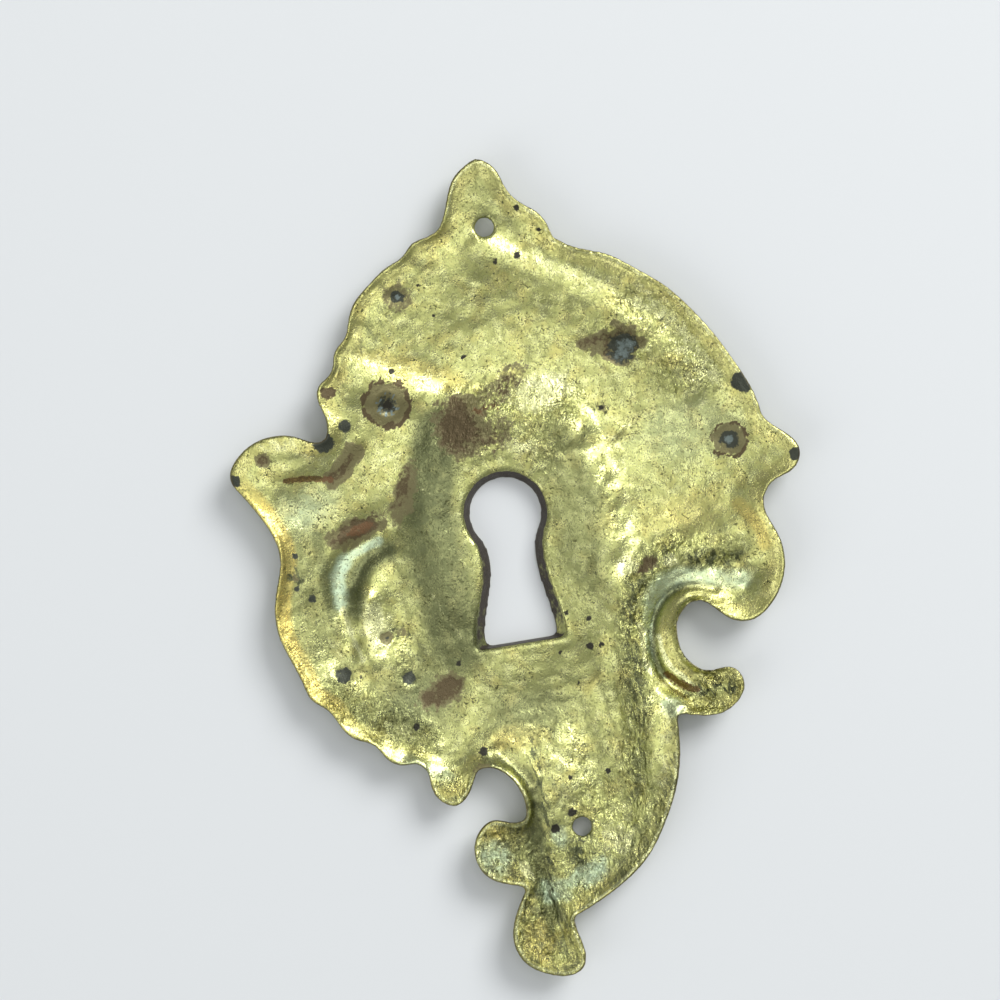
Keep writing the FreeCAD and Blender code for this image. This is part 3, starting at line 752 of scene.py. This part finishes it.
# Each pit: x, y and radius.
PITS = [
    (-7.3, -14.6, 0.28), (6.4, -15.0, 0.38), (7.6, -15.0, 0.28), (6.7, -12.1, 0.25), (-6.2, -23.9, 0.4),
    (-0.2, -33.0, 0.45), (1.8, -31.6, 0.45), (3.1, 25.7, 0.35), (-5.1, 24.6, 0.22), (8.1, 28.2, 0.2),
    (6.2, 30.8, 0.3), (3.3, -15.1, 0.25), (4.5, -11.2, 0.2), (4.6, -18.5, 0.2), (2.2, -28.0, 0.22),
    (6.2, -28.0, 0.25), (-17.4, -14.3, 0.2), (-12.6, -20.3, 0.4), (-18.7, 10.9, 0.4),
    (-10.2, 13.0, 0.5), (5.4, 26.0, 0.35), (11.5, 9.2, 0.3), (-4.0, 21.3, 0.22), (-1.7, 16.6, 0.22),
    (-9.3, 16.3, 0.3),
]
# Each small ringed stain: x, y and radius.
RINGED = [(-12.6, -10.4, 0.65), (11.5, 9.2, 0.5), (-22.3, -3.0, 0.5)]

for x, y, radius, strength in SLATE_SPOTS:
    lay("slate", (strength, spot(x, y, radius, ragged=0.3, soft=0.6)))
for x, y, radius in PITS:
    lay("black", (1.0, spot(x, y, radius, ragged=0.2, soft=0.8)))
for x, y, radius in RINGED:
    lay("grime_and_shade", (1.0, ring(x, y, radius, 0.22, ragged=0.8)))
    lay("skin", (0.6, spot(x, y, radius, ragged=0.8)))
lay("skin",
    (1.0, spot(-14.2, -10.8, 0.75, ragged=0.5, soft=0.3)),
    (1.0, spot(-23.8, 9.3, 0.85, ragged=0.5, soft=0.3)))
lay("brown", (0.7, spot(-23.8, 9.3, 0.6, ragged=0.5, soft=0.5)))
print("slate spots:", len(SLATE_SPOTS), "pits:", len(PITS), "ringed stains:", len(RINGED))

# %% [markdown]
# ### Steely hearts and bare hole edges
#
# The largest slate spots have a cool, steely heart, and in the crater it is a ring of short spokes: a
# wave that runs round the crater's middle cuts the ring into them. The edges of the keyhole and of the
# pin holes are worn bare. At the end the front's paint is wiped off, so that it stays plain, and painted
# shade is laid along the cut edge and on the keyhole's walls.

# %% Paint the steely hearts and the bare hole edges
CRATER = (-10.2, 13.0)
SPOKES = 9.0
HOLE_MARGIN = 1.5
turn_about_crater = np.arctan2(up_plate - CRATER[1], across - CRATER[0])
spokes = ramp(np.sin(SPOKES * turn_about_crater + 3.0 * fine), 0.0, 0.6)
lay("steel",
    (0.8, spot(14.8, 14.7, 1.2, soft=0.6, ragged=0.5)),
    (0.9, spot(24.0, 3.8, 0.5, soft=0.6)),
    (1.0, spot(-7.4, 23.7, 0.3, soft=0.5)),
    (1.0, ring(*CRATER, 0.95, 0.35) * spokes))
around_keyhole = np.abs(across) < KEYHOLE_HALF_WIDTH + HOLE_MARGIN
around_keyhole &= (up_plate > KEYHOLE_FOOT - HOLE_MARGIN) & (up_plate < KEYHOLE_TOP + HOLE_MARGIN)
lay("pale", (0.45, around_keyhole * (1.0 - ramp(np.abs(edge_distance - 0.12), 0.0, 0.2))))
for x, y in PIN_HOLES:
    lay("pale", (0.7, ring(x, y, 1.2, 0.12)))

back_only = on_back * ramp(normals[:, 2], 0.1, 0.5)
for name in paint:
    paint[name] = paint[name] * back_only
# Painted shade along the cut edge and on the keyhole's walls, which turn away from the light.
paint["edge"] = 1.0 - ramp(rim_distance + 0.06 * ragged_noise, 0.02, 0.24)
paint["wall"] = near_keyhole * (1.0 - ramp(np.abs(normals[:, 2]), 0.35, 0.75))
print({name: round(float(values.mean()), 3) for name, values in paint.items()})

# %% [markdown]
# ## Finishing the piece
#
# The mesh goes back to metres, its paints become attributes, and it takes the place of the frame's
# sheet.

# %% Finish the piece
mesh = plate.data
for name, values in paint.items():
    attribute = mesh.attributes.new(name, "FLOAT", "POINT")
    attribute.data.foreach_set("value", np.clip(values, 0.0, 1.0))
mesh.transform(Matrix.Scale(MM, 4))
mesh.polygons.foreach_set("use_smooth", [True] * len(mesh.polygons))
mesh.update()
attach(plate, "root")
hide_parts("escutcheon_plate")
print("faces in the finished sheet:", len(mesh.polygons))

# %% [markdown]
# ## Tarnished brass
#
# Brass that is never polished turns olive, with fine dark freckles. Its paler places are mostly painted
# highlights, and part of its dull places painted shade. Brown and slate-coloured stains are a skin of
# oxide over it: darker, rougher and less like metal. The material mixes these from fine noise on the
# object's own coordinates and from the paints.

# %% Start the material and its noises
brass = bpy.data.materials.new("tarnished brass")
brass.use_nodes = True
nodes = brass.node_tree.nodes
links = brass.node_tree.links
shader = nodes["Principled BSDF"]
coordinates = nodes.new("ShaderNodeTexCoord")
in_mm = nodes.new("ShaderNodeMapping")
in_mm.inputs["Scale"].default_value = (1.0 / MM, 1.0 / MM, 1.0 / MM)
links.new(coordinates.outputs["Object"], in_mm.inputs["Vector"])


def grain(size, detail=3.0, roughness=0.55, distortion=0.0, stretch=None, turn=0.0):
    """Noise whose grains are about size millimetres, or longer one way if stretched."""
    texture = nodes.new("ShaderNodeTexNoise")
    texture.inputs["Scale"].default_value = 1.0 / size
    texture.inputs["Detail"].default_value = detail
    texture.inputs["Roughness"].default_value = roughness
    texture.inputs["Distortion"].default_value = distortion
    source = in_mm
    if stretch:
        turned = nodes.new("ShaderNodeMapping")
        turned.inputs["Rotation"].default_value = (0.0, 0.0, math.radians(turn))
        links.new(in_mm.outputs["Vector"], turned.inputs["Vector"])
        source = nodes.new("ShaderNodeMapping")
        source.inputs["Scale"].default_value = stretch
        links.new(turned.outputs["Vector"], source.inputs["Vector"])
    links.new(source.outputs["Vector"], texture.inputs["Vector"])
    return texture.outputs["Fac"]


clouds = grain(4.0, detail=4.0)
sparse = grain(2.2, detail=3.0)
mottle = grain(0.9, detail=5.0, roughness=0.62)
specks = grain(0.32, detail=3.0, roughness=0.6)
sand = grain(0.17, detail=2.0, stretch=(1.3, 0.7, 1.0), turn=20.0)
strokes = grain(0.5, detail=3.0, distortion=0.5, stretch=(1.5, 0.55, 1.0), turn=8.0)
fan = grain(0.4, detail=2.0, distortion=0.3, stretch=(1.5, 0.3, 1.0), turn=38.0)
crumbs = grain(0.95, detail=4.0, distortion=0.9, stretch=(1.9, 0.55, 1.0), turn=-10.0)
print("nodes for the noises:", len(nodes))

# %% [markdown]
# ### Reckoning with nodes
#
# The material is a sum of layers, and each layer's share is worked out from a paint and a noise. Every
# sum is a node of its own, so small helpers make them, and the recipe below reads like a formula.

# %% Helpers that combine values
def painted(name):
    """One of the paints on the mesh."""
    attribute = nodes.new("ShaderNodeAttribute")
    attribute.attribute_name = name
    return attribute.outputs["Fac"]


def remap(value, low, high, to_low=0.0, to_high=1.0):
    """Stretch a value's range."""
    node = nodes.new("ShaderNodeMapRange")
    node.interpolation_type = "SMOOTHSTEP"
    node.inputs["From Min"].default_value = low
    node.inputs["From Max"].default_value = high
    node.inputs["To Min"].default_value = to_low
    node.inputs["To Max"].default_value = to_high
    links.new(value, node.inputs["Value"])
    return node.outputs["Result"]


def sums(operation, first, second=0.0):
    """One sum of two values, each a socket or a number."""
    node = nodes.new("ShaderNodeMath")
    node.operation = operation
    for socket, value in zip(node.inputs, (first, second)):
        if isinstance(value, (int, float)):
            socket.default_value = value
        else:
            links.new(value, socket)
    return node.outputs["Value"]


def times(first, second):
    """One value times another."""
    return sums("MULTIPLY", first, second)


def plus(first, *others):
    """All the values added up."""
    total = first
    for value in others:
        total = sums("ADD", total, value)
    return total


def strongest(first, *others):
    """The highest of the values."""
    highest = first
    for value in others:
        highest = sums("MAXIMUM", highest, value)
    return highest


def swing(pattern, strength):
    """A noise that swings evenly about zero."""
    return times(sums("SUBTRACT", pattern, 0.5), strength)


def blend(share, first, second):
    """Mix two colours, each a socket or a colour."""
    node = nodes.new("ShaderNodeMix")
    node.data_type = "RGBA"
    links.new(share, node.inputs["Factor"])
    for socket, value in ((node.inputs["A"], first), (node.inputs["B"], second)):
        if isinstance(value, tuple):
            socket.default_value = value + (1.0,)
        else:
            links.new(value, socket)
    return node.outputs["Result"]


def flecked(name, low=0.42, high=0.6):
    """A paint broken into flecks: a value of 1 covers fully, a half only here and there."""
    return remap(plus(painted(name), swing(mottle, 1.1), swing(specks, 0.9)), low, high)


print("paints for the helpers:", list(paint))

# %% [markdown]
# ### Colour
#
# The layers lie over one another: first the brass with its clouds of tone, its dull places and painted
# shade and its painted highlights, then film and freckles, then grime with painted shade, and the stains
# and the painted shade of the edges on top. One mix node per layer keeps each of them easy to change.

# %% Colour of the brass, its painted shade and its painted highlights
OLIVE = (0.520, 0.535, 0.200)
DULL = (0.410, 0.425, 0.160)
PALE = (0.770, 0.780, 0.400)
GOLD = (0.690, 0.545, 0.150)
TARNISH_AND_SHADE = (0.150, 0.164, 0.078)
FILM_AND_GLINT = (0.560, 0.700, 0.490)
FRECKLE = (0.080, 0.085, 0.034)

colour = blend(remap(clouds, 0.38, 0.62), DULL, OLIVE)
colour = blend(remap(mottle, 0.40, 0.75, 0.0, 0.45), colour, PALE)
colour = blend(remap(sparse, 0.45, 0.75, 0.0, 0.3), colour, GOLD)
# Golden places; along the left rim partly a painted highlight.
colour = blend(times(painted("gold"), remap(mottle, 0.3, 0.7, 0.65, 1.0)), colour, GOLD)
# Dull tarnish, and painted shade where slopes and grooves face away from the window.
colour = blend(times(painted("dim"), remap(mottle, 0.3, 0.7, 1.0, 0.8)), colour, TARNISH_AND_SHADE)
# Grey-green film, and a painted cyan glint on the crescent's lit wall.
colour = blend(times(painted("film_and_glint"), remap(mottle, 0.3, 0.7, 1.0, 0.6)), colour, FILM_AND_GLINT)
# Pale places, most of them painted highlights.
colour = blend(flecked("pale", 0.35, 1.0), colour, PALE)

dust = times(remap(sand, 0.55, 0.68), 0.45)
freckles = times(remap(specks, 0.585, 0.66), remap(sparse, 0.40, 0.62, 0.25, 0.95))
freckles = strongest(freckles, dust)
colour = blend(freckles, colour, FRECKLE)
# Thin winding lines, where the stretched noise crosses its middle value.
lines = remap(sums("ABSOLUTE", sums("SUBTRACT", strokes, 0.5)), 0.0, 0.04, 1.0, 0.0)
lines = times(lines, remap(painted("rough"), 0.1, 1.0, 0.0, 0.8))
lines = times(lines, remap(sparse, 0.42, 0.62, 0.15, 1.0))
colour = blend(lines, colour, FRECKLE)
print("material nodes with the bare brass:", len(nodes))

# %% [markdown]
# ### Colour of the stains and painted shade
#
# The stains are streaked the way the metal was rubbed, so a stretched noise is added to their paints
# before they are cut off at a level. The grime and painted shade are cut into ticks by a coarser
# stretched noise. The cut edge and the keyhole's walls are painted dark brown and near black: painted
# shade on faces that turn away from the light.

# %% Colour of the stains and painted shade
GRIME_AND_SHADE = (0.085, 0.095, 0.050)
SKIN = (0.160, 0.140, 0.064)
BROWN = (0.100, 0.074, 0.034)
RUST_AND_SHADE = (0.140, 0.072, 0.030)
SLATE = (0.045, 0.050, 0.035)
STEEL = (0.160, 0.200, 0.185)
BLACK = (0.030, 0.028, 0.018)
WALL_SHADE = (0.040, 0.028, 0.016)

ticks = remap(plus(times(crumbs, 0.7), times(mottle, 0.3)), 0.47, 0.55)
streaks = plus(swing(fan, 0.6), swing(mottle, 0.7), swing(specks, 1.0))
skin = remap(plus(painted("skin"), streaks), 0.38, 0.72)
brown = remap(plus(painted("brown"), streaks), 0.40, 0.66)
slate = flecked("slate", 0.40, 0.62)
black = flecked("black", 0.35, 0.6)
wall = remap(plus(painted("wall"), swing(mottle, 1.2)), 0.45, 0.8)

# Grime, and painted shade on flanks and in creases that face away from the window.
colour = blend(times(painted("grime_and_shade"), ticks), colour, GRIME_AND_SHADE)
colour = blend(times(skin, 0.92), colour, SKIN)
colour = blend(brown, colour, BROWN)
colour = blend(times(flecked("rust_and_shade"), 0.85), colour, RUST_AND_SHADE)
colour = blend(slate, colour, SLATE)
colour = blend(flecked("steel", 0.4, 0.8), colour, STEEL)
colour = blend(black, colour, BLACK)
# Painted shade along the cut edge.
colour = blend(remap(painted("edge"), 0.2, 0.9, 0.0, 0.7), colour, BROWN)
# Painted shade on the keyhole's walls.
colour = blend(wall, colour, WALL_SHADE)
links.new(colour, shader.inputs["Base Color"])
print("material nodes with the stains:", len(nodes))

# %% [markdown]
# ### Shine and fine relief
#
# Clean brass shines, and the stained skins are duller and less like metal. The finest relief is smaller
# than the sheet's faces, so it is a bump: hammered and scored where the sheet is crinkled, and nearly
# smooth elsewhere. Each noise is centred on zero, so that it doesn't lift the place it covers.

# %% Shine and fine relief of the brass
BUMP_DEPTH = 0.28
# The painted shade on the keyhole's walls is made duller too, along with the stains.
stained_or_shaded = strongest(brown, black, skin, wall, slate, times(painted("film_and_glint"), 0.5))
links.new(remap(stained_or_shaded, 0.2, 0.9, 1.0, 0.6), shader.inputs["Metallic"])
roughness = remap(mottle, 0.35, 0.7, 0.31, 0.20)
links.new(plus(roughness, remap(stained_or_shaded, 0.2, 0.9, 0.0, 0.16)), shader.inputs["Roughness"])

hammered = swing(grain(0.85, detail=4.0, roughness=0.6), remap(painted("rough"), 0.25, 0.95, 0.18, 1.6))
scored = swing(strokes, remap(painted("rough"), 0.25, 1.0, 0.05, 1.4))
sanded = times(grain(0.2, detail=2.0), 0.10)
relief = plus(hammered, scored, sanded)
relief = sums("SUBTRACT", relief, times(strongest(freckles, lines), 0.12))
bump = nodes.new("ShaderNodeBump")
bump.inputs["Strength"].default_value = 1.0
bump.inputs["Distance"].default_value = BUMP_DEPTH * MM
links.new(relief, bump.inputs["Height"])
links.new(bump.outputs["Normal"], shader.inputs["Normal"])
plate.data.materials.clear()
plate.data.materials.append(brass)
print("material nodes:", len(nodes))

# %% [markdown]
# ## Floor
#
# A pale level floor catches the plate's soft shadow. It is wider than the picture and lies at the lowest
# point of the plate's front, which rests on it. From here on all lengths are in metres.

# %% Floor
FLOOR_HALF_WIDTH = 1.5
FLOOR_COLOUR = (0.65, 0.67, 0.68, 1.0)
FLOOR_ROUGHNESS = 0.8
floor_height = points[:, 2].min() * MM
shape = bmesh.new()
bmesh.ops.create_grid(shape, x_segments=1, y_segments=1, size=FLOOR_HALF_WIDTH)
bmesh.ops.translate(shape, vec=(0.0, 0.0, floor_height), verts=shape.verts)
floor_mesh = bpy.data.meshes.new("floor")
shape.to_mesh(floor_mesh)
shape.free()
floor = link("floor", floor_mesh)
floor_finish = bpy.data.materials.new("pale floor")
floor_finish.use_nodes = True
floor_shader = floor_finish.node_tree.nodes["Principled BSDF"]
floor_shader.inputs["Base Color"].default_value = FLOOR_COLOUR
floor_shader.inputs["Roughness"].default_value = FLOOR_ROUGHNESS
floor.data.materials.append(floor_finish)
print("floor height in mm:", round(float(floor_height / MM), 2))

# %% [markdown]
# ## Camera
#
# The camera looks straight into the hollow back, turned so that the plate leans as it does in the
# photograph. It could be turned by angles, but a matrix from its own three directions is plainer, and
# the lamps can be placed by the same directions.

# %% Camera
PHOTO_TURN = math.radians(9.3)
VIEW_CENTRE = Vector((-0.34, 1.41, -1.5)) * MM
VIEW_WIDTH = 103.1 * MM
VIEW_DISTANCE = 0.32
SENSOR_WIDTH = 36.0
up = Vector((math.sin(PHOTO_TURN), math.cos(PHOTO_TURN), 0.0))
right = Vector((math.cos(PHOTO_TURN), -math.sin(PHOTO_TURN), 0.0))
towards = Vector((0.0, 0.0, 1.0))


def turned_to(place, direction, top):
    """A matrix at a place whose back faces along direction and whose top is up."""
    back = direction.normalized()
    side = top.cross(back).normalized()
    over = back.cross(side)
    return Matrix.Translation(place) @ Matrix((side, over, back)).transposed().to_4x4()


camera_data = bpy.data.cameras.new("camera")
camera_data.sensor_width = SENSOR_WIDTH
camera_data.lens = SENSOR_WIDTH * VIEW_DISTANCE / VIEW_WIDTH
camera_data.clip_start = 0.01
camera = link("camera", camera_data)
camera.matrix_world = turned_to(VIEW_CENTRE + towards * VIEW_DISTANCE, towards, up)
bpy.context.scene.camera = camera
print("focal length in mm:", round(camera_data.lens, 1))

# %% [markdown]
# ## Light
#
# The light is that of a room: a large window at the upper right draws the long highlights, and a
# ceiling and a wall on the left keep the slopes that face away from turning black. Metal shows what it
# mirrors, so the lamps are broad areas and not points.

# %% Lamps and room
# Each lamp: its name, its place across, up and towards the camera, its size and its power.
LAMPS = [
    ("window", 0.44, 0.50, 0.60, 0.46, 6.6),
    ("ceiling", 0.04, 0.05, 0.62, 0.44, 0.85),
    ("left wall", -0.50, -0.36, 0.45, 0.55, 1.45),
]
ROOM_COLOUR = (0.95, 0.98, 1.0, 1.0)
ROOM_STRENGTH = 0.38

for name, sideways, upwards, height, size, power in LAMPS:
    lamp_data = bpy.data.lights.new(name, "AREA")
    lamp_data.size = size
    lamp_data.energy = power
    place = right * sideways + up * upwards + towards * height
    lamp = link(name, lamp_data)
    lamp.matrix_world = turned_to(place, place - VIEW_CENTRE, up)
world = bpy.data.worlds.new("room")
bpy.context.scene.world = world
world.use_nodes = True
world.node_tree.nodes["Background"].inputs["Color"].default_value = ROOM_COLOUR
world.node_tree.nodes["Background"].inputs["Strength"].default_value = ROOM_STRENGTH
bpy.context.scene.view_settings.view_transform = "Standard"
